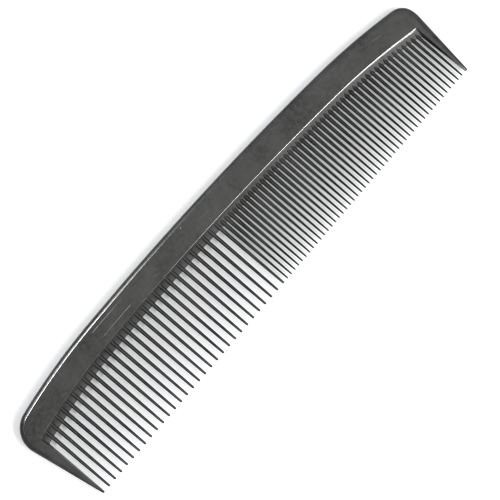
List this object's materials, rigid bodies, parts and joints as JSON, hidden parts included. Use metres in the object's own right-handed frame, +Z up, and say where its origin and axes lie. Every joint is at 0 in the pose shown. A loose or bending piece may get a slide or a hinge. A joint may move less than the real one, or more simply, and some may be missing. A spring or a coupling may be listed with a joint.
{
  "type": "hair comb",
  "caption": "Flat one-piece hair comb with an arched solid back, a wedge-shaped guard tooth at each end, coarse teeth along one half and fine teeth along the other.",
  "frame": {"origin": "centre of the comb's bounding box in plan, on the plane of the underside that it lies on", "axes": "+X along the comb from the coarse end to the fine end, parallel to the line of the tooth tips; +Y from the tooth tips to the arched back; +Z up, out of the upper face"},
  "size_m": [0.178, 0.0376, 0.0044],
  "materials": {
    "comb_plastic": "satin dark grey-black moulded plastic with faint handling scuffs"
  },
  "bodies": {
    "root": {"spine": "comb_plastic", "coarse_end_guard": "comb_plastic", "fine_end_guard": "comb_plastic", "coarse_tooth_01": "comb_plastic", "coarse_tooth_02": "comb_plastic", "coarse_tooth_03": "comb_plastic", "coarse_tooth_04": "comb_plastic", "coarse_tooth_05": "comb_plastic", "coarse_tooth_06": "comb_plastic", "coarse_tooth_07": "comb_plastic", "coarse_tooth_08": "comb_plastic", "coarse_tooth_09": "comb_plastic", "coarse_tooth_10": "comb_plastic", "coarse_tooth_11": "comb_plastic", "coarse_tooth_12": "comb_plastic", "coarse_tooth_13": "comb_plastic", "coarse_tooth_14": "comb_plastic", "coarse_tooth_15": "comb_plastic", "coarse_tooth_16": "comb_plastic", "coarse_tooth_17": "comb_plastic", "coarse_tooth_18": "comb_plastic", "coarse_tooth_19": "comb_plastic", "coarse_tooth_20": "comb_plastic", "coarse_tooth_21": "comb_plastic", "coarse_tooth_22": "comb_plastic", "coarse_tooth_23": "comb_plastic", "coarse_tooth_24": "comb_plastic", "coarse_tooth_25": "comb_plastic", "coarse_tooth_26": "comb_plastic", "coarse_tooth_27": "comb_plastic", "coarse_tooth_28": "comb_plastic", "coarse_tooth_29": "comb_plastic", "coarse_tooth_30": "comb_plastic", "fine_tooth_pair_01": "comb_plastic", "fine_tooth_pair_02": "comb_plastic", "fine_tooth_pair_03": "comb_plastic", "fine_tooth_pair_04": "comb_plastic", "fine_tooth_pair_05": "comb_plastic", "fine_tooth_pair_06": "comb_plastic", "fine_tooth_pair_07": "comb_plastic", "fine_tooth_pair_08": "comb_plastic", "fine_tooth_pair_09": "comb_plastic", "fine_tooth_pair_10": "comb_plastic", "fine_tooth_pair_11": "comb_plastic", "fine_tooth_pair_12": "comb_plastic", "fine_tooth_pair_13": "comb_plastic", "fine_tooth_pair_14": "comb_plastic", "fine_tooth_pair_15": "comb_plastic", "fine_tooth_pair_16": "comb_plastic", "fine_tooth_pair_17": "comb_plastic", "fine_tooth_pair_18": "comb_plastic", "fine_tooth_pair_19": "comb_plastic", "fine_tooth_pair_20": "comb_plastic", "fine_tooth_pair_21": "comb_plastic", "fine_tooth_pair_22": "comb_plastic", "fine_tooth_pair_23": "comb_plastic", "fine_tooth_pair_24": "comb_plastic"}
  },
  "joints": []
}
